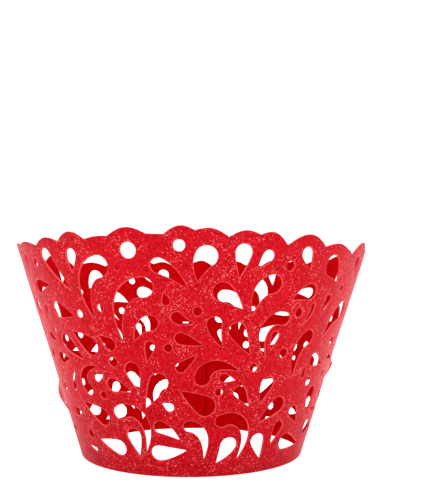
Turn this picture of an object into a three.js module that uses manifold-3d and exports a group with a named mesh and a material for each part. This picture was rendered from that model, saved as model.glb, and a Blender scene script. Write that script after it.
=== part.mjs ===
// Cupcake wrapper: one band of pearl card, cut right through with drops, commas and dots and scalloped
// along its top edge. The band is rolled into a cone, its two ends lap at the back, and a tab on the
// outer end hooks through a slit in the inner end. Millimetres, +Z up, the front faces -Y.
import * as THREE from "three";
import { mergeVertices } from "three/addons/utils/BufferGeometryUtils.js";
import Module from "manifold-3d";

// Driving dimensions of the rolled wrapper.
const height = 47.4;
const baseDiameter = 50.7;
const topDiameter = 82.4;
const cardThickness = 0.3;
const lapGap = 0.2;

// The seam at the back, in degrees round from the front, and the widths of its parts along the card.
const innerEndSide = 173;
const lapWidth = 5;
const tabLength = 6;
const slitWidth = 1.6;
const slitClearance = 0.4;
const plainEdge = 1.2;

// The tab and the cutting pattern are drawn in fiftieths of the slope, which are about a millimetre
// each, and in degrees round the wall. One degree of the drawing is this wide at its foot and its top.
const patternHeight = 50;
const degreeAtFoot = 0.44;
const degreeAtTop = 0.72;
const tabLow = 20;
const tabHigh = 30;

const wasm = await Module();
wasm.setup();

const { degToRad, lerp } = THREE.MathUtils;
const halfTurn = 180;

// A point of the wall, its depth measured level and inwards from the outer face.
function onWall(side, up, depth) {
  const radius = lerp(baseDiameter / 2, topDiameter / 2, up / patternHeight) - depth;
  const turn = degToRad(side);
  return [radius * Math.sin(turn), -radius * Math.cos(turn), (height * up) / patternHeight];
}

// How many degrees a width of card takes at half height.
function degreesOf(width) {
  const middleRadius = (baseDiameter + topDiameter) / 4;
  return THREE.MathUtils.radToDeg(width / middleRadius);
}

function solid(points, triangles) {
  const mesh = new wasm.Mesh({
    numProp: 3,
    vertProperties: new Float32Array(points.flat()),
    triVerts: new Uint32Array(triangles.flat()),
  });
  return new wasm.Manifold(mesh);
}

// A strip of card. Each column is its four corners: outer low, outer high, inner high and inner low.
function strip(columns) {
  const points = columns.flat();
  const triangles = [];
  for (let first = 0; first < points.length - 4; first += 4) {
    for (let edge = 0; edge < 4; edge += 1) {
      const near = first + edge;
      const next = first + ((edge + 1) % 4);
      triangles.push([near, near + 4, next], [next, near + 4, next + 4]);
    }
  }
  const last = points.length - 4;
  triangles.push([0, 1, 2], [0, 2, 3], [last, last + 2, last + 1], [last, last + 3, last + 2]);
  return solid(points, triangles);
}

// A length on a fine grid that 32-bit numbers hold exactly, so that straight faces are truly flat.
function snapped(value) {
  const grid = 2 ** -14;
  return Math.round(value / grid) * grid;
}

// A cutter with the given outline, which goes straight through both layers of a lap.
function cutter(outline) {
  const clear = 1.5;
  const count = outline.length;
  const middleSide = outline.reduce((sum, [side]) => sum + side, 0) / count;
  const [outX, outY] = onWall(middleSide, 0, 0).map((part) => (part * clear * 2) / baseDiameter);
  const through = (clear * 2 + cardThickness) / clear;
  const face = outline.map(([side, up]) => onWall(side, up, 0).map(snapped));
  const [stepX, stepY] = [outX, outY].map(snapped);
  const [backX, backY] = [outX * through, outY * through].map(snapped);
  const points = [
    ...face.map(([x, y, z]) => [x + stepX, y + stepY, z]),
    ...face.map(([x, y, z]) => [x + stepX - backX, y + stepY - backY, z]),
  ];
  const flat = outline.map(([side, up]) => new THREE.Vector2(side, up));
  const triangles = [];
  for (const [a, b, c] of THREE.ShapeUtils.triangulateShape(flat, [])) {
    triangles.push([a, b, c], [c + count, b + count, a + count]);
  }
  outline.forEach((_, here) => {
    const next = (here + 1) % count;
    triangles.push([next, here, here + count], [next, here + count, next + count]);
  });
  return solid(points, triangles);
}

// The width of one degree of the drawing at a given height.
function degreeWidth(up) {
  return lerp(degreeAtFoot, degreeAtTop, up / patternHeight);
}

// A drop or comma: a round head that tapers to a tip along a curved spine. The spine turns most near
// the head, by turn degrees in all, to the left when turn is positive.
function dropOutline([headSide, headUp, tipSide, tipUp, width, turn]) {
  const turnOfStep = 35;
  const taper = 1.4;
  const smallHead = 2.6;
  const oneDegree = degreeWidth((headUp + tipUp) / 2);
  const reach = new THREE.Vector2((tipSide - headSide) * oneDegree, tipUp - headUp);
  const steps = 2 + Math.round(Math.abs(turn) / turnOfStep);
  const heading = (part) => degToRad(turn) * (1 - (1 - part) ** 2);
  const spine = [new THREE.Vector2()];
  for (let step = 0; step < steps; step += 1) {
    const way = heading((step + 0.5) / steps);
    spine.push(new THREE.Vector2(Math.cos(way), Math.sin(way)).add(spine[step]));
  }
  const tip = spine[steps];
  const swing = reach.angle() - tip.angle();
  const stretch = reach.length() / tip.length();
  for (const point of spine) {
    point.rotateAround(new THREE.Vector2(), swing).multiplyScalar(stretch);
  }
  const aside = (step, sign) => {
    const part = step / steps;
    const across = heading(part) + swing + (sign * Math.PI) / 2;
    const half = (width / 2) * (1 - part ** taper);
    const sideways = new THREE.Vector2(Math.cos(across), Math.sin(across));
    return spine[step].clone().addScaledVector(sideways, half);
  };
  const headSteps = width < smallHead ? 3 : 4;
  const outline = [];
  for (let step = 0; step <= headSteps; step += 1) {
    const round = swing + Math.PI / 2 + (Math.PI * step) / headSteps;
    outline.push(new THREE.Vector2(Math.cos(round), Math.sin(round)).multiplyScalar(width / 2));
  }
  for (let step = 1; step < steps; step += 1) {
    outline.push(aside(step, -1));
  }
  outline.push(tip);
  for (let step = steps - 1; step > 0; step -= 1) {
    outline.push(aside(step, 1));
  }
  return outline.map(({ x, y }) => [headSide + x / oneDegree, headUp + y]);
}

function dotOutline([side, up, radius]) {
  const corners = 7;
  return Array.from({ length: corners }, (_, corner) => {
    const round = (2 * Math.PI * corner) / corners;
    return [side + (radius * Math.cos(round)) / degreeWidth(up), up + radius * Math.sin(round)];
  });
}

// The drops and commas of one half turn of the band: head side, head up, tip side, tip up, width, turn.
const drops = [
  // Under the scallops.
  [-62.8, 45.5, -63, 42.6, 2.2, 0],
  [-47.5, 45.5, -38.6, 37.7, 3, 15],
  [-36.1, 45.2, -37.2, 41.6, 2.5, 0],
  [-9.6, 42.7, -1.4, 38.2, 2.9, -25],
  [3.4, 44.4, 1.1, 39.7, 4.1, 30],
  [13.4, 45.3, 12.8, 40.4, 3.2, 0],
  [20.6, 44.8, 17.8, 42.2, 2.3, 0],
  [33.2, 45.6, 35.5, 42.5, 2.7, 0],
  [45.2, 43.6, 50.2, 40.3, 4.6, -20],
  [63.2, 45.2, 65.3, 41.4, 3, 0],
  [74, 44.5, 70.5, 40.3, 3.2, 20],
  [86, 44.6, 90.8, 39.8, 3.6, -20],
  [95.3, 45.6, 94.2, 42, 2.2, 0],
  [102.5, 44.8, 107.8, 40.5, 3.2, 0],
  // The long commas of the upper wall.
  [-27.4, 42.7, -31.7, 32, 4.4, 100],
  [-14.4, 38.6, -22.8, 27.9, 3.9, 100],
  [-13, 31.7, -18.8, 28.1, 3, 60],
  [23.3, 39.4, 18.1, 33.1, 3.8, 80],
  [37.7, 38.1, 31, 36.3, 3.4, 25],
  [40.6, 35.3, 36.4, 30.7, 1.1, -50],
  [29.3, 32.6, 25, 24.1, 2.7, 135],
  [42.2, 28.6, 39, 19.7, 3.3, 75],
  [61.5, 34.4, 51, 28, 4.2, 50],
  [80.5, 38.2, 73.5, 29.3, 3.9, 95],
  [97, 37.4, 90.8, 29.6, 3.4, 85],
  // The drops between them.
  [-65.5, 35.8, -65, 31.8, 2.4, 0],
  [-58.3, 39.2, -49.5, 39.4, 2.9, -20],
  [-57.3, 34.6, -57.9, 32.3, 1.7, 0],
  [-48.6, 34.3, -40.6, 32.9, 3.4, 0],
  [-60.5, 28.6, -55.8, 27.2, 1.9, 0],
  [-48.8, 27.5, -41, 23.8, 3.5, 0],
  [-36.2, 26.8, -44, 29.9, 3.9, 0],
  [-27.9, 27.3, -31.8, 29.1, 2.6, 0],
  [-13.8, 27.2, -15.2, 23.9, 1.9, 0],
  [-7.9, 35.9, -8.4, 37.6, 1.6, 0],
  [-4.9, 32.8, 0.3, 31.7, 2.2, 35],
  [-3.8, 28.7, 3.3, 27.3, 2.3, 0],
  [8.3, 37.8, 14.8, 34.5, 3.7, -10],
  [6.4, 31.6, 9.4, 26.9, 2.8, 30],
  [13.7, 30.2, 19, 25.3, 3.3, 0],
  [27.2, 29.1, 26.4, 26.2, 1.8, 0],
  [48, 36.7, 45.7, 33, 2, 0],
  [83.5, 31.4, 80.4, 27.2, 2.6, 30],
  [103.5, 36.5, 109.5, 34.2, 2.8, 0],
  [105.5, 30.2, 111.5, 28.4, 2.6, 0],
  // Half height.
  [-56.3, 23.9, -49.8, 23.7, 2.6, 0],
  [-52, 17.5, -48, 21.8, 1.5, -20],
  [-42.4, 17.6, -34.5, 22.6, 2.6, -140],
  [-36.4, 20.1, -33.1, 20.9, 1.5, 0],
  [-29.6, 19, -22, 17.7, 2.8, -15],
  [-20.9, 22.3, -19.3, 17.9, 3.1, 0],
  [-11.8, 19.9, -17.4, 14.5, 3.6, 0],
  [-4, 22.9, 1.3, 25.4, 2, 0],
  [3.2, 20.8, 16.2, 22, 3.1, -115],
  [10.6, 20.8, 14.7, 20.3, 1.7, 0],
  [16.9, 17.9, 21.4, 14.7, 2.4, 0],
  [27.7, 19.2, 25.8, 15, 2.9, 0],
  [45, 20.3, 45.4, 23, 1.3, 0],
  [49.6, 23.6, 57, 22.5, 2.9, 0],
  [63.5, 23.8, 70.5, 23.2, 1.5, 0],
  [77, 24.2, 82, 21.2, 2.4, 0],
  [86.5, 24.4, 94, 26.2, 2.6, -20],
  [95.5, 21.8, 92.2, 17.6, 2.6, 0],
  [102.3, 20.2, 111.5, 22.2, 2.8, -110],
  // The lower wall.
  [-57, 12, -51.8, 11.9, 2.4, 0],
  [-38, 11.8, -48.8, 14.7, 3.7, 0],
  [-28.7, 13.2, -19.3, 5, 2.9, -145],
  [-8.4, 14.8, -10.9, 15.6, 1.7, 0],
  [-12.4, 10.6, -4.9, 8, 2.6, -20],
  [4.6, 15, -4.4, 18.2, 4.1, 0],
  [-0.9, 10.9, 4.9, 3.9, 2.4, -85],
  [11.4, 11.9, 19, 3.2, 2.7, -145],
  [34.6, 14.5, 26.4, 11, 3.4, 0],
  [44.8, 12.5, 49.4, 9.7, 2.6, 0],
  [55.8, 15.8, 56.2, 11, 3.4, 0],
  [63, 11.9, 70, 11.3, 1.3, 0],
  [78.5, 16.8, 70.5, 18.6, 3, 0],
  [75.5, 12, 83.5, 4.2, 2.4, -150],
  [91, 12.4, 84.8, 15.2, 2.6, 0],
  [97.5, 10.8, 104.8, 7.8, 2.6, -20],
  [105.3, 14.2, 98.5, 16.6, 2.8, 0],
  // Along the foot.
  [-66, 7.2, -72.5, 7, 1.8, 0],
  [-48, 4, -54, 4.6, 0.9, 0],
  [-32.3, 5.5, -43.3, 6.6, 3.3, 0],
  [-24, 8.5, -22.5, 4.2, 3, 0],
  [-13.6, 5.1, -2.2, 5.8, 3.2, 10],
  [14.9, 6.7, 10.2, 2.9, 3.2, -15],
  [27.8, 7.2, 30.9, 3, 2.9, 0],
  [37.7, 9.6, 35.4, 5.8, 2.5, 0],
  [44.4, 5.9, 57, 4.5, 3.5, 0],
  [62.5, 7.7, 71, 7.2, 3.4, 0],
  [78.2, 7.6, 76.6, 3.5, 2.2, 0],
  [90.4, 7, 94, 3.2, 2.8, 0],
  [98.3, 5, 105.5, 4.4, 2.6, 0],
];

// The dots of one half turn: side, up, radius.
const dots = [
  [-55, 44.3, 1],
  [-17.5, 45.6, 1.55],
  [-3.8, 46.4, 1.1],
  [28, 43, 1],
  [80, 45.6, 1.1],
  [-29, 34.6, 0.75],
  [1.3, 34, 0.87],
  [34.9, 33.8, 1],
  [55, 39.2, 0.8],
  [86.5, 36.4, 1],
  [-54.8, 29.9, 0.6],
  [-37.8, 33.4, 0.8],
  [-7.9, 26.8, 0.8],
  [61.4, 27.4, 1.1],
  [72.5, 26.6, 0.9],
  [100, 32, 0.9],
  [-64.8, 24.5, 1.1],
  [-27.7, 23.7, 1],
  [20.9, 22.7, 0.85],
  [31.9, 25.5, 1],
  [99.5, 26.2, 0.9],
  [-58.2, 20.8, 0.65],
  [-62, 17, 0.95],
  [-35, 16.6, 0.85],
  [9.2, 17.9, 0.75],
  [50.2, 18.8, 1],
  [62, 20, 0.8],
  [86.2, 19.6, 1],
  [-49.2, 7.4, 1],
  [68.2, 14.9, 0.9],
  [110.5, 11.6, 1],
];

// The scallops of one half turn: the side and height of the notch that each starts at, and its rise.
const scallops = [
  [-66, 48.6, 0.8],
  [-51.5, 47.7, 1.2],
  [-40.4, 48, 1.7],
  [-30.3, 48, 0.25],
  [-23, 48.4, 1.4],
  [-12.2, 48.6, 0],
  [-7.8, 48.5, 1.2],
  [0.3, 49.2, 0.95],
  [9, 48.1, 1],
  [17.5, 48.7, 1.4],
  [25.9, 47, 2.25],
  [39.7, 47.3, 0.9],
  [51.6, 47.4, 0.2],
  [55.5, 46.4, 2.9],
  [73, 47.2, 1.6],
  [84.5, 47.4, 2.2],
  [99, 47.6, 1.4],
];

// The blank reaches past the scallops, which are trimmed out of it. Its upper edge is its foot edge
// enlarged by a plain fraction, so that each facet between two columns is truly flat.
const quarters = 4;
const spareTop = 1.05;
const flare = Math.ceil((spareTop * quarters * topDiameter) / baseDiameter) / quarters;
const blankRise = ((flare - 1) * baseDiameter) / (topDiameter - baseDiameter);

// The waste card above each scallop of a half turn. Its neighbours' waste overlaps it a little.
function wasteOutlines(startSide) {
  const arcSteps = 5;
  const clear = 0.05;
  const above = patternHeight * (blankRise + clear);
  const overlap = 0.4;
  const [firstSide, firstUp] = scallops[0];
  const notches = [...scallops, [firstSide + halfTurn, firstUp, 0]];
  return scallops.map(([side, up, rise], here) => {
    const [nextSide, nextUp] = notches[here + 1];
    const arc = Array.from({ length: arcSteps + 1 }, (_, step) => {
      const part = step / arcSteps;
      return [lerp(side, nextSide, part), lerp(up, nextUp, part) + rise * Math.sin(Math.PI * part)];
    });
    const right = nextSide + overlap;
    const left = side - overlap;
    const shoulder = 3 * overlap;
    const rightEdge = [[right, nextUp + shoulder], [right, above]];
    const leftEdge = [[left, above], [left, up + shoulder]];
    const outline = [...arc, ...rightEdge, ...leftEdge];
    return outline.map(([pointSide, pointUp]) => [startSide + pointSide, pointUp]);
  });
}

// The band, rolled up: its inner end is set in under its outer end, and eases out to the cone beyond it.
const lapDegrees = degreesOf(lapWidth);
const slitStart = innerEndSide + lapDegrees + degreesOf(slitClearance);
const slitEnd = slitStart + degreesOf(slitWidth);
const setIn = cardThickness + lapGap;

function setInAt(side) {
  const underTab = innerEndSide + lapDegrees + degreesOf(tabLength);
  const easeDegrees = 14;
  const eased = (side + 2 * halfTurn - underTab) / easeDegrees;
  return setIn * (1 - THREE.MathUtils.smoothstep(eased, 0, 1));
}

function rolledBand() {
  const facets = 36;
  const startSide = innerEndSide - 2 * halfTurn;
  const endSide = innerEndSide + lapDegrees;
  const steepness = (2 * height) / (topDiameter - baseDiameter);
  const columns = Array.from({ length: facets + 1 }, (_, facet) => {
    const side = lerp(startSide, endSide, facet / facets);
    const [outer, inner] = [0, cardThickness].map((depth) => {
      const [x, y] = onWall(side, 0, setInAt(side) + depth).map(snapped);
      const footRadius = baseDiameter / 2 - setInAt(side) - depth;
      const top = footRadius * (flare - 1) * steepness;
      return [[x, y, 0], [x * flare, y * flare, top]];
    });
    return [outer[0], outer[1], inner[1], inner[0]];
  });
  return strip(columns);
}

// The tab grows out of the outer end, dips through the slit and lies flat inside the inner end. Its
// root is a shade thinner than the card that it grows from, so that the two join without a flush face.
function tab() {
  const rootMargin = 0.05;
  const insideDepth = setIn + cardThickness + lapGap;
  const edge = innerEndSide + lapDegrees;
  const tip = edge + degreesOf(tabLength);
  const rounding = 1.5;
  const columns = [
    { side: edge - degreesOf(1), low: tabLow, high: tabHigh, depth: rootMargin },
    { side: edge + degreesOf(slitClearance / 2), low: tabLow, high: tabHigh, depth: rootMargin },
    { side: slitEnd - degreesOf(slitClearance / 2), low: tabLow, high: tabHigh, depth: insideDepth },
    { side: tip - degreesOf(rounding), low: tabLow, high: tabHigh, depth: insideDepth },
    { side: tip, low: tabLow + rounding, high: tabHigh - rounding, depth: insideDepth },
  ];
  const thickness = cardThickness - 2 * rootMargin;
  const corners = columns.map(({ side, low, high, depth }) => [
    onWall(side, low, depth),
    onWall(side, high, depth),
    onWall(side, high, depth + thickness),
    onWall(side, low, depth + thickness),
  ]);
  return strip(corners);
}

function slitOutline() {
  const low = tabLow - slitClearance;
  const high = tabHigh + slitClearance;
  return [[slitStart, low], [slitEnd, low], [slitEnd, high], [slitStart, high]];
}

// The ends of the band stay plain where they lap, so a cut-out that would reach into them is left out.
function clearOfSeam(outline) {
  const margin = degreesOf(plainEdge);
  return outline.every(([side]) => {
    const round = THREE.MathUtils.euclideanModulo(side, 2 * halfTurn);
    return round < innerEndSide - margin || round > slitEnd + margin;
  });
}

const halfPattern = [...drops.map(dropOutline), ...dots.map(dotOutline)];
const backPattern = halfPattern.map((outline) => outline.map(([side, up]) => [side + halfTurn, up]));
const cutOuts = [...halfPattern, ...backPattern].filter(clearOfSeam);
const cutters = [...cutOuts, slitOutline(), ...wasteOutlines(0), ...wasteOutlines(halfTurn)].map(cutter);
const wall = cutters.reduce((rest, tool) => rest.subtract(tool), rolledBand()).add(tab());

function meshOf(name, body, material) {
  const { vertProperties, triVerts } = body.getMesh();
  const geometry = new THREE.BufferGeometry();
  geometry.setAttribute("position", new THREE.BufferAttribute(Float32Array.from(vertProperties), 3));
  geometry.setIndex(new THREE.BufferAttribute(Uint32Array.from(triVerts), 1));
  const mesh = new THREE.Mesh(mergeVertices(geometry, 0.0005), material);
  mesh.geometry.computeVertexNormals();
  mesh.name = name;
  return mesh;
}

const pearlCard = new THREE.MeshStandardMaterial({ color: 0xd0162b, roughness: 0.42, metalness: 0.2 });

const cupcakeWrapper = new THREE.Group();
cupcakeWrapper.add(meshOf("wrapper", wall, pearlCard));

export default cupcakeWrapper;
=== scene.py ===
import math

import bmesh
import bpy
import numpy as np
from mathutils import Matrix, Vector
from mathutils.geometry import delaunay_2d_cdt


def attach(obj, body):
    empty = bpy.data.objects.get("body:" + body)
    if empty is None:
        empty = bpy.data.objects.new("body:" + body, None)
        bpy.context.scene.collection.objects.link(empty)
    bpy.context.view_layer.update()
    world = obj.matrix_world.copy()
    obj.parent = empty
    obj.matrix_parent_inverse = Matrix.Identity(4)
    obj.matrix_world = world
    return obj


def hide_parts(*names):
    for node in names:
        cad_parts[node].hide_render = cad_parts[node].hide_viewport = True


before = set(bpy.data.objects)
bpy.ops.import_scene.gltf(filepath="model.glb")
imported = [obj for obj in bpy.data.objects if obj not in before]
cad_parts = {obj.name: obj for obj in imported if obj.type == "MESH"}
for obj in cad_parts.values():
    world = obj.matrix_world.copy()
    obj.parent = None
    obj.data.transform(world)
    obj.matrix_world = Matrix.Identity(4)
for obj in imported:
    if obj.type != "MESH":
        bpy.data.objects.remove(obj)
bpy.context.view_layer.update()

# The floor: a pale matt sheet that the wrapper stands on, lit a little from below like a light table.
# It is wide enough that its far edge is lost in the pale room.
floor_reach = 3.0
floor_white = (0.93, 0.93, 0.93, 1)
floor_glow = 0.45
floor_corners = [(x * floor_reach, y * floor_reach, 0) for x, y in ((-1, -1), (1, -1), (1, 1), (-1, 1))]
floor_mesh = bpy.data.meshes.new("pale_floor")
floor_mesh.from_pydata(floor_corners, [], [(0, 1, 2, 3)])
pale_floor = bpy.data.objects.new("pale_floor", floor_mesh)
bpy.context.scene.collection.objects.link(pale_floor)
floor_paper = bpy.data.materials.new("floor_paper")
floor_paper.use_nodes = True
floor_look = floor_paper.node_tree.nodes["Principled BSDF"]
floor_look.inputs["Base Color"].default_value = floor_white
floor_look.inputs["Roughness"].default_value = 0.8
floor_look.inputs["Emission Color"].default_value = (1, 1, 1, 1)
floor_look.inputs["Emission Strength"].default_value = floor_glow
floor_mesh.materials.append(floor_paper)

# The room: even white light from all round, and three soft square lamps that shine on the wrapper.
# One hangs above it and a little behind, and one stands on either side of the front.
room_light = 1.42
room = bpy.data.worlds.new("white_room")
room.use_nodes = True
room.node_tree.nodes["Background"].inputs["Color"].default_value = (1, 1, 1, 1)
room.node_tree.nodes["Background"].inputs["Strength"].default_value = room_light
bpy.context.scene.world = room
bpy.context.scene.view_settings.view_transform = "Standard"

lamp_width = 0.3
lit_point = Vector((0, 0, 0.025))


def soft_lamp(name, place, watts):
    lamp = bpy.data.lights.new(name, "AREA")
    lamp.size = lamp_width
    lamp.energy = watts
    holder = bpy.data.objects.new(name, lamp)
    holder.location = place
    holder.rotation_euler = (lit_point - Vector(place)).to_track_quat("-Z", "Y").to_euler()
    bpy.context.scene.collection.objects.link(holder)


soft_lamp("top_lamp", (0.05, 0.1, 0.6), 2.0)
soft_lamp("left_lamp", (-0.5, -0.35, 0.3), 0.6)
soft_lamp("right_lamp", (0.5, -0.25, 0.3), 0.6)

# The camera: close in front of the wrapper and a little above its middle. It looks slightly upwards
# and to the right, so that the wrapper stands low and left in the picture.
camera_place = Vector((0, -0.15, 0.03277))
camera_up_tilt = math.radians(5.72)
camera_right_turn = math.radians(2.3)
camera_roll = 0.0037
camera = bpy.data.cameras.new("camera")
camera.sensor_width = 36
camera.lens = 45.2
camera_holder = bpy.data.objects.new("camera", camera)
camera_holder.matrix_world = (
    Matrix.Translation(camera_place)
    @ Matrix.Rotation(-camera_right_turn, 4, "Z")
    @ Matrix.Rotation(math.pi / 2 + camera_up_tilt, 4, "X")
    @ Matrix.Rotation(camera_roll, 4, "Z")
)
bpy.context.scene.collection.objects.link(camera_holder)
bpy.context.scene.camera = camera_holder

# The wrapper: one band of red pearl card, laser-cut all over and rolled into a cone. A tab on its
# outer end goes through a slit in its inner end at the back and lies flat inside.
foot_radius = 0.0507 / 2
top_radius = 0.0824 / 2
wrapper_height = 0.0474
card_thickness = 0.0003
lap_gap = 0.0002
lap_width = 0.005
tab_length = 0.006
slit_width = 0.0016
slit_clearance = 0.0004
plain_edge = 0.0012
half_height_radius = (foot_radius + top_radius) / 2


def degrees_of(width):
    return math.degrees(width / half_height_radius)


# The seam, in degrees round from the front.
seam_side = 173
inner_end = seam_side - 360
outer_end = seam_side + degrees_of(lap_width)
slit_start = outer_end + degrees_of(slit_clearance)
slit_end = slit_start + degrees_of(slit_width)
tab_tip = outer_end + degrees_of(tab_length)

# The card is drawn flat in degrees round and in fiftieths of its slope, which are about 1 mm each. One
# degree is 0.44 mm wide at the foot and 0.72 mm at the top.
pattern_height = 50
degree_at_foot, degree_at_top = 0.44, 0.72
tab_low, tab_high = 20, 30
slit_spare = 0.4

# Of one half turn the cut-outs are: head side, head up, tip side, tip up, width, turn of the spine.
drops = [
    # Under the scallops.
    [-62.8, 45.5, -63, 42.6, 2.2, 0],
    [-47.5, 45.5, -38.6, 37.7, 3, 15],
    [-36.1, 45.2, -37.2, 41.6, 2.5, 0],
    [-9.6, 42.7, -1.4, 38.2, 2.9, -25],
    [3.4, 44.4, 1.1, 39.7, 4.1, 30],
    [13.4, 45.3, 12.8, 40.4, 3.2, 0],
    [20.6, 44.8, 17.8, 42.2, 2.3, 0],
    [33.2, 45.6, 35.5, 42.5, 2.7, 0],
    [45.2, 43.6, 50.2, 40.3, 4.6, -20],
    [63.2, 45.2, 65.3, 41.4, 3, 0],
    [74, 44.5, 70.5, 40.3, 3.2, 20],
    [86, 44.6, 90.8, 39.8, 3.6, -20],
    [95.3, 45.6, 94.2, 42, 2.2, 0],
    [102.5, 44.8, 107.8, 40.5, 3.2, 0],
    # The long commas of the upper wall.
    [-27.4, 42.7, -31.7, 32, 4.4, 100],
    [-14.4, 38.6, -22.8, 27.9, 3.9, 100],
    [-13, 31.7, -18.8, 28.1, 3, 60],
    [23.3, 39.4, 18.1, 33.1, 3.8, 80],
    [37.7, 38.1, 31, 36.3, 3.4, 25],
    [40.6, 35.3, 36.4, 30.7, 1.1, -50],
    [29.3, 32.6, 25, 24.1, 2.7, 135],
    [42.2, 28.6, 39, 19.7, 3.3, 75],
    [61.5, 34.4, 51, 28, 4.2, 50],
    [80.5, 38.2, 73.5, 29.3, 3.9, 95],
    [97, 37.4, 90.8, 29.6, 3.4, 85],
    # The drops between them.
    [-65.5, 35.8, -65, 31.8, 2.4, 0],
    [-58.3, 39.2, -49.5, 39.4, 2.9, -20],
    [-57.3, 34.6, -57.9, 32.3, 1.7, 0],
    [-48.6, 34.3, -40.6, 32.9, 3.4, 0],
    [-60.5, 28.6, -55.8, 27.2, 1.9, 0],
    [-48.8, 27.5, -41, 23.8, 3.5, 0],
    [-36.2, 26.8, -44, 29.9, 3.9, 0],
    [-27.9, 27.3, -31.8, 29.1, 2.6, 0],
    [-13.8, 27.2, -15.2, 23.9, 1.9, 0],
    [-7.9, 35.9, -8.4, 37.6, 1.6, 0],
    [-4.9, 32.8, 0.3, 31.7, 2.2, 35],
    [-3.8, 28.7, 3.3, 27.3, 2.3, 0],
    [8.3, 37.8, 14.8, 34.5, 3.7, -10],
    [6.4, 31.6, 9.4, 26.9, 2.8, 30],
    [13.7, 30.2, 19, 25.3, 3.3, 0],
    [27.2, 29.1, 26.4, 26.2, 1.8, 0],
    [48, 36.7, 45.7, 33, 2, 0],
    [83.5, 31.4, 80.4, 27.2, 2.6, 30],
    [103.5, 36.5, 109.5, 34.2, 2.8, 0],
    [105.5, 30.2, 111.5, 28.4, 2.6, 0],
    # Half height.
    [-56.3, 23.9, -49.8, 23.7, 2.6, 0],
    [-52, 17.5, -48, 21.8, 1.5, -20],
    [-42.4, 17.6, -34.5, 22.6, 2.6, -140],
    [-36.4, 20.1, -33.1, 20.9, 1.5, 0],
    [-29.6, 19, -22, 17.7, 2.8, -15],
    [-20.9, 22.3, -19.3, 17.9, 3.1, 0],
    [-11.8, 19.9, -17.4, 14.5, 3.6, 0],
    [-4, 22.9, 1.3, 25.4, 2, 0],
    [3.2, 20.8, 16.2, 22, 3.1, -115],
    [10.6, 20.8, 14.7, 20.3, 1.7, 0],
    [16.9, 17.9, 21.4, 14.7, 2.4, 0],
    [27.7, 19.2, 25.8, 15, 2.9, 0],
    [45, 20.3, 45.4, 23, 1.3, 0],
    [49.6, 23.6, 57, 22.5, 2.9, 0],
    [63.5, 23.8, 70.5, 23.2, 1.5, 0],
    [77, 24.2, 82, 21.2, 2.4, 0],
    [86.5, 24.4, 94, 26.2, 2.6, -20],
    [95.5, 21.8, 92.2, 17.6, 2.6, 0],
    [102.3, 20.2, 111.5, 22.2, 2.8, -110],
    # The lower wall.
    [-57, 12, -51.8, 11.9, 2.4, 0],
    [-38, 11.8, -48.8, 14.7, 3.7, 0],
    [-28.7, 13.2, -19.3, 5, 2.9, -145],
    [-8.4, 14.8, -10.9, 15.6, 1.7, 0],
    [-12.4, 10.6, -4.9, 8, 2.6, -20],
    [4.6, 15, -4.4, 18.2, 4.1, 0],
    [-0.9, 10.9, 4.9, 3.9, 2.4, -85],
    [11.4, 11.9, 19, 3.2, 2.7, -145],
    [34.6, 14.5, 26.4, 11, 3.4, 0],
    [44.8, 12.5, 49.4, 9.7, 2.6, 0],
    [55.8, 15.8, 56.2, 11, 3.4, 0],
    [63, 11.9, 70, 11.3, 1.3, 0],
    [78.5, 16.8, 70.5, 18.6, 3, 0],
    [75.5, 12, 83.5, 4.2, 2.4, -150],
    [91, 12.4, 84.8, 15.2, 2.6, 0],
    [97.5, 10.8, 104.8, 7.8, 2.6, -20],
    [105.3, 14.2, 98.5, 16.6, 2.8, 0],
    # Along the foot.
    [-66, 7.2, -72.5, 7, 1.8, 0],
    [-48, 4, -54, 4.6, 0.9, 0],
    [-32.3, 5.5, -43.3, 6.6, 3.3, 0],
    [-24, 8.5, -22.5, 4.2, 3, 0],
    [-13.6, 5.1, -2.2, 5.8, 3.2, 10],
    [14.9, 6.7, 10.2, 2.9, 3.2, -15],
    [27.8, 7.2, 30.9, 3, 2.9, 0],
    [37.7, 9.6, 35.4, 5.8, 2.5, 0],
    [44.4, 5.9, 57, 4.5, 3.5, 0],
    [62.5, 7.7, 71, 7.2, 3.4, 0],
    [78.2, 7.6, 76.6, 3.5, 2.2, 0],
    [90.4, 7, 94, 3.2, 2.8, 0],
    [98.3, 5, 105.5, 4.4, 2.6, 0],
]

# The dots: side, up, radius.
dots = [
    [-55, 44.3, 1],
    [-17.5, 45.6, 1.55],
    [-3.8, 46.4, 1.1],
    [28, 43, 1],
    [80, 45.6, 1.1],
    [-29, 34.6, 0.75],
    [1.3, 34, 0.87],
    [34.9, 33.8, 1],
    [55, 39.2, 0.8],
    [86.5, 36.4, 1],
    [-54.8, 29.9, 0.6],
    [-37.8, 33.4, 0.8],
    [-7.9, 26.8, 0.8],
    [61.4, 27.4, 1.1],
    [72.5, 26.6, 0.9],
    [100, 32, 0.9],
    [-64.8, 24.5, 1.1],
    [-27.7, 23.7, 1],
    [20.9, 22.7, 0.85],
    [31.9, 25.5, 1],
    [99.5, 26.2, 0.9],
    [-58.2, 20.8, 0.65],
    [-62, 17, 0.95],
    [-35, 16.6, 0.85],
    [9.2, 17.9, 0.75],
    [50.2, 18.8, 1],
    [62, 20, 0.8],
    [86.2, 19.6, 1],
    [-49.2, 7.4, 1],
    [68.2, 14.9, 0.9],
    [110.5, 11.6, 1],
]

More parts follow.
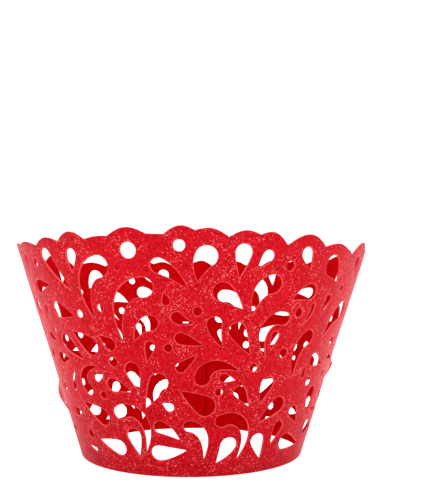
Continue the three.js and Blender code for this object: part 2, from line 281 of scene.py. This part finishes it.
# The scallops: the side and height of the notch that each starts at, and its rise.
scallops = [
    [-66, 48.6, 0.8],
    [-51.5, 47.7, 1.2],
    [-40.4, 48, 1.7],
    [-30.3, 48, 0.25],
    [-23, 48.4, 1.4],
    [-12.2, 48.6, 0],
    [-7.8, 48.5, 1.2],
    [0.3, 49.2, 0.95],
    [9, 48.1, 1],
    [17.5, 48.7, 1.4],
    [25.9, 47, 2.25],
    [39.7, 47.3, 0.9],
    [51.6, 47.4, 0.2],
    [55.5, 46.4, 2.9],
    [73, 47.2, 1.6],
    [84.5, 47.4, 2.2],
    [99, 47.6, 1.4],
]


def degree_width(up):
    return degree_at_foot + (degree_at_top - degree_at_foot) * up / pattern_height


def drop_outline(head_side, head_up, tip_side, tip_up, width, turn):
    """A round head that tapers to a tip along a spine which turns most near the head."""
    spine_steps = 12
    head_steps = 12
    taper = 1.4
    part = np.arange(spine_steps + 1) / spine_steps
    heading = math.radians(turn) * (1 - (1 - part) ** 2)
    middle = math.radians(turn) * (1 - (1 - part[:-1] - 0.5 / spine_steps) ** 2)
    spine = np.concatenate([[0], np.cumsum(np.exp(1j * middle))])
    one_degree = degree_width((head_up + tip_up) / 2)
    swing = complex((tip_side - head_side) * one_degree, tip_up - head_up) / spine[-1]
    spine = spine * swing
    across = 1j * np.exp(1j * heading) * swing / abs(swing) * width / 2 * (1 - part**taper)
    round_head = across[0] * np.exp(1j * np.pi * np.arange(head_steps + 1) / head_steps)
    outline = np.concatenate([round_head, (spine - across)[1:], (spine + across)[-2:0:-1]])
    return np.stack([head_side + outline.real / one_degree, head_up + outline.imag], 1)


def dot_outline(side, up, radius):
    dot_steps = 20
    turn = 2 * np.pi * np.arange(dot_steps) / dot_steps
    return np.stack([side + radius * np.cos(turn) / degree_width(up), up + radius * np.sin(turn)], 1)


def clear_of_seam(outline):
    margin = degrees_of(plain_edge)
    round_about = outline[:, 0] % 360
    return bool(np.all((round_about < seam_side - margin) | (round_about > slit_end + margin)))


def rim_height(side):
    """The height of the scalloped edge."""
    first_side, first_up, _ = scallops[0]
    notches = scallops + [[first_side + 180, first_up, 0]]
    place = (side - first_side) % 180 + first_side
    here = max(count for count in range(len(scallops)) if notches[count][0] <= place)
    left_side, left_up, rise = notches[here]
    right_side, right_up, _ = notches[here + 1]
    part = (place - left_side) / (right_side - left_side)
    return left_up + (right_up - left_up) * part + rise * math.sin(math.pi * part)


# The half turn comes round more than once, less what would reach into the seam.
half_turn_starts = (-180, 0, 180)
half_turn = [drop_outline(*row) for row in drops] + [dot_outline(*row) for row in dots]
cut_outs = []
for outline in half_turn:
    for start in half_turn_starts:
        moved = outline + (start, 0)
        on_band = moved[:, 0].min() > inner_end and moved[:, 0].max() < outer_end
        if on_band and clear_of_seam(moved):
            cut_outs.append(moved)
slit_low, slit_high = tab_low - slit_spare, tab_high + slit_spare
slit = [(slit_start, slit_low), (slit_end, slit_low), (slit_end, slit_high), (slit_start, slit_high)]
cut_outs.append(np.array(slit) - (360, 0))

# The outer outline: along the foot, round the tab and back along the scallops.
foot_points, rim_points = 185, 370
foot = [(side, 0) for side in np.linspace(inner_end, outer_end, foot_points)]
tab_corner = [(tab_tip - degrees_of(0.0015), 0), (tab_tip - degrees_of(0.0005), 0.5), (tab_tip, 1.5)]
tab = [
    (outer_end, tab_low),
    *[(side, tab_low + rise) for side, rise in tab_corner],
    *[(side, tab_high - rise) for side, rise in reversed(tab_corner)],
    (outer_end, tab_high),
]
rim_sides = set(np.linspace(inner_end, outer_end, rim_points))
notch_sides = {side + start for side, _, _ in scallops for start in half_turn_starts}
rim_sides |= {side for side in notch_sides if inner_end < side < outer_end}
rim = [(side, rim_height(side)) for side in sorted(rim_sides, reverse=True)]
edge_outline = np.array(foot + tab + rim)

# The laser leaves a narrow lip along every cut, rounder than the face of the card. The lip is painted
# a little paler, a painted highlight along the cut. The lip's width is in millimetres of the drawing and
# its drop in metres.
lip_width = 0.13
lip_drop = 0.00005


def unit(vectors):
    return vectors / np.linalg.norm(vectors, axis=1)[:, None]


def moved_out(outline, distance):
    """The outline grown by a distance in millimetres, or shrunk by a negative one."""
    least_share = 0.3
    scale = np.stack([degree_width(outline[:, 1]), np.ones(len(outline))], 1)
    flat = outline * scale
    before, after = flat - np.roll(flat, 1, 0), np.roll(flat, -1, 0) - flat
    area = np.sum(flat[:, 0] * np.roll(flat[:, 1], -1) - np.roll(flat[:, 0], -1) * flat[:, 1])
    along = unit(before) + unit(after)
    along /= np.maximum(np.linalg.norm(along, axis=1)[:, None], least_share)
    outwards = np.stack([along[:, 1], -along[:, 0]], 1) * np.sign(area)
    return outline + outwards * distance / scale


lips = [moved_out(outline, lip_width) for outline in cut_outs] + [moved_out(edge_outline, -lip_width)]
outlines = [edge_outline] + cut_outs + lips
drawn = np.concatenate(outlines)

# Free points between the cut-outs let the card bend evenly. They keep clear of the outlines.
free_sides = np.arange(inner_end + 1, tab_tip, 2)
free_ups = np.arange(1.2, pattern_height, 1.4)
free_clearance = 0.45
true_size = np.array([0.6, 1])
grid = np.array([(side, up) for side in free_sides for up in free_ups])
nearest = np.array([np.min(np.sum(((drawn - point) * true_size) ** 2, axis=1)) for point in grid])
points = np.concatenate([drawn, grid[nearest >= free_clearance**2]])

# The faces between the outer outline and the cut-outs are card. Those outside the lips are lip.
loops, first = [], 0
for outline in outlines:
    loops.append(list(range(first, first + len(outline))))
    first += len(outline)
flat_points, _, flat_faces, point_sources, _, sources = delaunay_2d_cdt(
    [Vector(point * true_size) for point in points], [], loops, 1, 1e-5
)
last_cut = len(cut_outs)
edge_lip = 2 * last_cut + 1
card_faces, lip_faces = [], []
for face, source in zip(flat_faces, sources):
    if 0 in source and not any(1 <= outline <= last_cut for outline in source):
        card_faces.append(face)
        lip_faces.append(edge_lip not in source or any(last_cut < outline < edge_lip for outline in source))
cut_points = len(edge_outline) + sum(len(outline) for outline in cut_outs)
depths = [lip_drop if any(point < cut_points for point in own) else 0 for own in point_sources]

outside, inside, cut = 0, 1, 2
flat_corners = [(point.x / true_size[0], point.y, depth) for point, depth in zip(flat_points, depths)]
flat_mesh = bpy.data.meshes.new("flat_card")
flat_mesh.from_pydata(flat_corners, [], card_faces)
card_side = flat_mesh.attributes.new("card_side", "INT", "FACE")
card_side.data.foreach_set("value", [cut if lip else outside for lip in lip_faces])
tidy = bmesh.new()
tidy.from_mesh(flat_mesh)
bmesh.ops.delete(tidy, geom=[corner for corner in tidy.verts if not corner.link_faces], context="VERTS")
for face in tidy.faces:
    if face.normal.z < 0:
        face.normal_flip()
tidy.to_mesh(flat_mesh)
tidy.free()
wrapper = bpy.data.objects.new("wrapper_card", flat_mesh)
bpy.context.scene.collection.objects.link(wrapper)


def add_input(tree, label, kind, value=None):
    socket = tree.interface.new_socket(label, in_out="INPUT", socket_type=kind)
    if value is not None:
        socket.default_value = value


def add_node(tree, kind, settings=(), **sockets):
    """Adds a node. A socket is named by its label or, as i0 or i1, by its place."""
    made = tree.nodes.new(kind)
    for name, value in dict(settings).items():
        setattr(made, name, value)
    for name, value in sockets.items():
        place = name[1:]
        socket = made.inputs[int(place)] if place.isdigit() else made.inputs[name.replace("_", " ")]
        if isinstance(value, bpy.types.NodeSocket):
            tree.links.new(value, socket)
        else:
            socket.default_value = value
    return made


# The rolling: the flat card gets its thickness, is bent round the cone and set in under its own lap.
rolling = bpy.data.node_groups.new("roll_card", "GeometryNodeTree")
add_input(rolling, "Card", "NodeSocketGeometry")
add_input(rolling, "Foot Radius", "NodeSocketFloat", foot_radius)
add_input(rolling, "Top Radius", "NodeSocketFloat", top_radius)
add_input(rolling, "Height", "NodeSocketFloat", wrapper_height)
add_input(rolling, "Card Thickness", "NodeSocketFloat", card_thickness)
add_input(rolling, "Lap Depth", "NodeSocketFloat", card_thickness + lap_gap)
add_input(rolling, "Waviness", "NodeSocketFloat", 0.0005)
add_input(rolling, "Sprung Out", "NodeSocketFloat", 0.0016)
for label in ("Outside", "Inside", "Cut Edge"):
    add_input(rolling, label, "NodeSocketMaterial")
rolling.interface.new_socket("Wrapper", in_out="OUTPUT", socket_type="NodeSocketGeometry")
roll_in = rolling.nodes.new("NodeGroupInput")
roll_out = rolling.nodes.new("NodeGroupOutput")


def rolled_sum(operation, *values):
    sockets = {f"i{place}": value for place, value in enumerate(values)}
    return add_node(rolling, "ShaderNodeMath", {"operation": operation}, **sockets).outputs[0]


def eased(value, start, end, low, high):
    return add_node(
        rolling,
        "ShaderNodeMapRange",
        {"interpolation_type": "SMOOTHSTEP", "clamp": True},
        Value=value, From_Min=start, From_Max=end, To_Min=low, To_Max=high,
    ).outputs[0]


thicken = add_node(
    rolling,
    "GeometryNodeExtrudeMesh",
    {"mode": "FACES"},
    Mesh=roll_in.outputs["Card"],
    Offset=add_node(rolling, "ShaderNodeCombineXYZ", Z=roll_in.outputs["Card Thickness"]).outputs[0],
    Offset_Scale=1.0,
    Individual=False,
)
cut_sides = rolled_sum("MULTIPLY", thicken.outputs["Side"], cut)
marked = add_node(
    rolling,
    "GeometryNodeStoreNamedAttribute",
    {"data_type": "INT", "domain": "FACE"},
    Geometry=thicken.outputs["Mesh"],
    Name="card_side",
    Value=rolled_sum("ADD", thicken.outputs["Top"], cut_sides),
)
outer_face = add_node(rolling, "GeometryNodeFlipFaces", Mesh=roll_in.outputs["Card"])
both_faces = add_node(rolling, "GeometryNodeJoinGeometry")
rolling.links.new(marked.outputs[0], both_faces.inputs[0])
rolling.links.new(outer_face.outputs[0], both_faces.inputs[0])
closed = add_node(rolling, "GeometryNodeMergeByDistance", Geometry=both_faces.outputs[0], Distance=1e-5)

flat_position = add_node(rolling, "GeometryNodeInputPosition").outputs[0]
side, up, depth = add_node(rolling, "ShaderNodeSeparateXYZ", i0=flat_position).outputs
angle = rolled_sum("RADIANS", side)
across_front = rolled_sum("SINE", angle)
towards_back = rolled_sum("COSINE", angle)
height_share = rolled_sum("DIVIDE", up, pattern_height)

# The inner end lies one lap deep and eases out to the cone beyond the tab. The tab dips one lap more.
ease_degrees = 14
slit_half_gap = degrees_of(slit_clearance / 2)
under_tab = tab_tip - 360
set_in = eased(side, under_tab, under_tab + ease_degrees, 1.0, 0.0)
tab_in = eased(side, outer_end + slit_half_gap, slit_end - slit_half_gap, 0.0, 2.0)
layer = rolled_sum("MULTIPLY", rolled_sum("ADD", set_in, tab_in), roll_in.outputs["Lap Depth"])

# Two webs of the pattern have sprung outwards a little: side, up, width in degrees, length, share.
sprung_webs = [(-87, 13.5, 4.5, 3.4, 1.0), (83, 20.5, 4, 1.6, 0.7)]
sprung = 0.0
for web_side, web_up, web_width, web_length, web_share in sprung_webs:
    across = rolled_sum("DIVIDE", rolled_sum("SUBTRACT", side, web_side), web_width)
    along = rolled_sum("DIVIDE", rolled_sum("SUBTRACT", up, web_up), web_length)
    far = rolled_sum("MULTIPLY_ADD", across, across, rolled_sum("MULTIPLY", along, along))
    swell = rolled_sum("EXPONENT", rolled_sum("MULTIPLY", far, -1.0))
    sprung = rolled_sum("MULTIPLY_ADD", swell, web_share, sprung)

# The card waves a little, more towards its free top edge.
wave = add_node(
    rolling,
    "ShaderNodeTexNoise",
    {"noise_dimensions": "3D"},
    Vector=add_node(
        rolling, "ShaderNodeCombineXYZ", X=across_front, Y=towards_back, Z=height_share
    ).outputs[0],
    Scale=2.2, Detail=1.0, Roughness=0.4,
)
wave_reach = rolled_sum("MULTIPLY", roll_in.outputs["Waviness"], height_share)
wave_depth = rolled_sum("MULTIPLY", rolled_sum("SUBTRACT", wave.outputs[0], 0.5), wave_reach)

widening = rolled_sum("SUBTRACT", roll_in.outputs["Top Radius"], roll_in.outputs["Foot Radius"])
cone = rolled_sum("MULTIPLY_ADD", height_share, widening, roll_in.outputs["Foot Radius"])
bent_out = rolled_sum("MULTIPLY_ADD", sprung, roll_in.outputs["Sprung Out"], cone)
inner_layer = rolled_sum("SUBTRACT", rolled_sum("SUBTRACT", bent_out, depth), layer)
radius = rolled_sum("SUBTRACT", inner_layer, wave_depth)
rolled_position = add_node(
    rolling,
    "ShaderNodeCombineXYZ",
    X=rolled_sum("MULTIPLY", radius, across_front),
    Y=rolled_sum("MULTIPLY", radius, rolled_sum("MULTIPLY", towards_back, -1.0)),
    Z=rolled_sum("MULTIPLY", height_share, roll_in.outputs["Height"]),
).outputs[0]
rolled = add_node(rolling, "GeometryNodeSetPosition", Geometry=closed.outputs[0], Position=rolled_position)
turned = add_node(rolling, "GeometryNodeFlipFaces", Mesh=rolled.outputs[0])
smooth = add_node(rolling, "GeometryNodeSetShadeSmooth", Geometry=turned.outputs[0])
finished = add_node(rolling, "GeometryNodeRealizeInstances", Geometry=smooth.outputs[0])
face_side = add_node(rolling, "GeometryNodeInputNamedAttribute", {"data_type": "INT"}, Name="card_side")
for place, label in ((outside, "Outside"), (inside, "Inside"), (cut, "Cut Edge")):
    chosen = add_node(
        rolling,
        "FunctionNodeCompare",
        {"data_type": "INT", "operation": "EQUAL"},
        i2=face_side.outputs["Attribute"], i3=place,
    )
    finished = add_node(
        rolling,
        "GeometryNodeSetMaterial",
        Geometry=finished.outputs[0], Selection=chosen.outputs[0], Material=roll_in.outputs[label],
    )
rolling.links.new(finished.outputs[0], roll_out.inputs[0])

# The pearl finish: red card with a coating of mica flakes. The coating is patchy, so that some flakes glint
# alone and others in clusters;
# the glints are painted into the colour as pale pink specks, painted highlights. Under it the card has a
# faint felt grain.
flake_size = 0.00013
pearl = bpy.data.node_groups.new("pearl_finish", "ShaderNodeTree")
add_input(pearl, "Flake Size", "NodeSocketFloat", flake_size)
add_input(pearl, "Painted Sparkle", "NodeSocketFloat", 0.5)
add_input(pearl, "Mottle", "NodeSocketFloat", 0.5)
for label in ("Card Red", "Deep Red", "Painted Glint Pink"):
    add_input(pearl, label, "NodeSocketColor")
pearl.interface.new_socket("Color", in_out="OUTPUT", socket_type="NodeSocketColor")
pearl.interface.new_socket("Roughness", in_out="OUTPUT", socket_type="NodeSocketFloat")
pearl.interface.new_socket("Height", in_out="OUTPUT", socket_type="NodeSocketFloat")
pearl_in = pearl.nodes.new("NodeGroupInput")
pearl_out = pearl.nodes.new("NodeGroupOutput")

card_place = add_node(pearl, "ShaderNodeTexCoord").outputs["Object"]
flakes_per_metre = add_node(
    pearl, "ShaderNodeMath", {"operation": "DIVIDE"}, i0=1.0, i1=pearl_in.outputs["Flake Size"]
)
flakes = add_node(pearl, "ShaderNodeTexVoronoi", Vector=card_place, Scale=flakes_per_metre.outputs[0])
flake_rank = add_node(pearl, "ShaderNodeSeparateColor", i0=flakes.outputs["Color"])
patches = add_node(pearl, "ShaderNodeTexNoise", Vector=card_place, Scale=230.0, Detail=2.0)
threshold = add_node(
    pearl,
    "ShaderNodeMapRange",
    Value=patches.outputs[0], From_Min=0.42, From_Max=0.66, To_Min=0.994, To_Max=0.9,
)
glint = add_node(
    pearl,
    "ShaderNodeMapRange",
    Value=flake_rank.outputs[0], From_Min=threshold.outputs[0], From_Max=1.0,
)
painted_glint_share = add_node(
    pearl, "ShaderNodeMath", {"operation": "MULTIPLY"}, i0=glint.outputs[0], i1=pearl_in.outputs["Painted Sparkle"]
)
mottle = add_node(pearl, "ShaderNodeTexNoise", Vector=card_place, Scale=1900.0, Detail=2.0, Roughness=0.6)
mottled = add_node(
    pearl,
    "ShaderNodeMapRange",
    Value=mottle.outputs[0], From_Min=0.38, From_Max=0.62, To_Min=0.0, To_Max=pearl_in.outputs["Mottle"],
)
base = add_node(
    pearl,
    "ShaderNodeMix",
    {"data_type": "RGBA"},
    Factor=mottled.outputs[0], A=pearl_in.outputs["Card Red"], B=pearl_in.outputs["Deep Red"],
)
# The chosen flakes are painted pale pink into the colour: painted highlights standing in for glints.
color = add_node(
    pearl,
    "ShaderNodeMix",
    {"data_type": "RGBA"},
    Factor=painted_glint_share.outputs[0], A=base.outputs["Result"], B=pearl_in.outputs["Painted Glint Pink"],
)
rough = add_node(pearl, "ShaderNodeMapRange", Value=flake_rank.outputs[1], To_Min=0.36, To_Max=0.6)
relief = add_node(
    pearl,
    "ShaderNodeMath",
    {"operation": "MULTIPLY_ADD"},
    i0=mottle.outputs[0], i1=0.6, i2=glint.outputs[0],
)
pearl.links.new(color.outputs["Result"], pearl_out.inputs["Color"])
pearl.links.new(rough.outputs[0], pearl_out.inputs["Roughness"])
pearl.links.new(relief.outputs[0], pearl_out.inputs["Height"])

pearl_tint = (1, 0.62, 0.66, 1)
relief_depth = 0.00004


def card_material(name, colors, painted_sparkle, mottling, metallic, specular, bump_strength):
    made = bpy.data.materials.new(name)
    made.use_nodes = True
    tree = made.node_tree
    look = tree.nodes["Principled BSDF"]
    look.inputs["Metallic"].default_value = metallic
    look.inputs["Specular IOR Level"].default_value = specular
    look.inputs["Specular Tint"].default_value = pearl_tint
    finish = tree.nodes.new("ShaderNodeGroup")
    finish.node_tree = pearl
    for label, value in zip(("Card Red", "Deep Red", "Painted Glint Pink"), colors):
        finish.inputs[label].default_value = value
    finish.inputs["Painted Sparkle"].default_value = painted_sparkle
    finish.inputs["Mottle"].default_value = mottling
    bump = tree.nodes.new("ShaderNodeBump")
    bump.inputs["Strength"].default_value = bump_strength
    bump.inputs["Distance"].default_value = relief_depth
    tree.links.new(finish.outputs["Color"], look.inputs["Base Color"])
    tree.links.new(finish.outputs["Roughness"], look.inputs["Roughness"])
    tree.links.new(finish.outputs["Height"], bump.inputs["Height"])
    tree.links.new(bump.outputs[0], look.inputs["Normal"])
    return made


# The colours of each finish are its card, its deeper grain and the painted glint of its flakes.
outside_card = card_material(
    "pearl_card_outside",
    ((0.405, 0.004, 0.011, 1), (0.25, 0.0, 0.001, 1), (0.84, 0.3, 0.3, 1)),
    painted_sparkle=0.85, mottling=0.85, metallic=0.6, specular=0.1, bump_strength=0.5,
)
inside_card = card_material(
    "pearl_card_inside",
    ((0.42, 0.0, 0.002, 1), (0.29, 0.0, 0.0, 1), (0.6, 0.04, 0.04, 1)),
    painted_sparkle=0.5, mottling=0.9, metallic=0.2, specular=0.0, bump_strength=0.3,
)
# The lips and cut walls are painted paler than the card face: a painted highlight along every cut.
cut_edge_painted_highlight = card_material(
    "cut_edge_with_painted_highlight",
    ((0.5, 0.036, 0.046, 1), (0.42, 0.02, 0.03, 1), (0.62, 0.16, 0.16, 1)),
    painted_sparkle=0.1, mottling=0.3, metallic=0.0, specular=0.1, bump_strength=0.2,
)

roller = wrapper.modifiers.new("roll_card", "NODES")
roller.node_group = rolling
given = {"Outside": outside_card, "Inside": inside_card, "Cut Edge": cut_edge_painted_highlight}
for item in rolling.interface.items_tree:
    if item.in_out == "INPUT" and item.name in given:
        roller[item.identifier] = given[item.name]
evaluated = wrapper.evaluated_get(bpy.context.evaluated_depsgraph_get())
rolled_mesh = bpy.data.meshes.new_from_object(evaluated)
wrapper.modifiers.clear()
wrapper.data = rolled_mesh
rolled_mesh.name = "wrapper_card"
smoothest_bend = math.radians(50)
rolled_mesh.set_sharp_from_angle(angle=smoothest_bend)
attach(wrapper, "root")
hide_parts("wrapper")
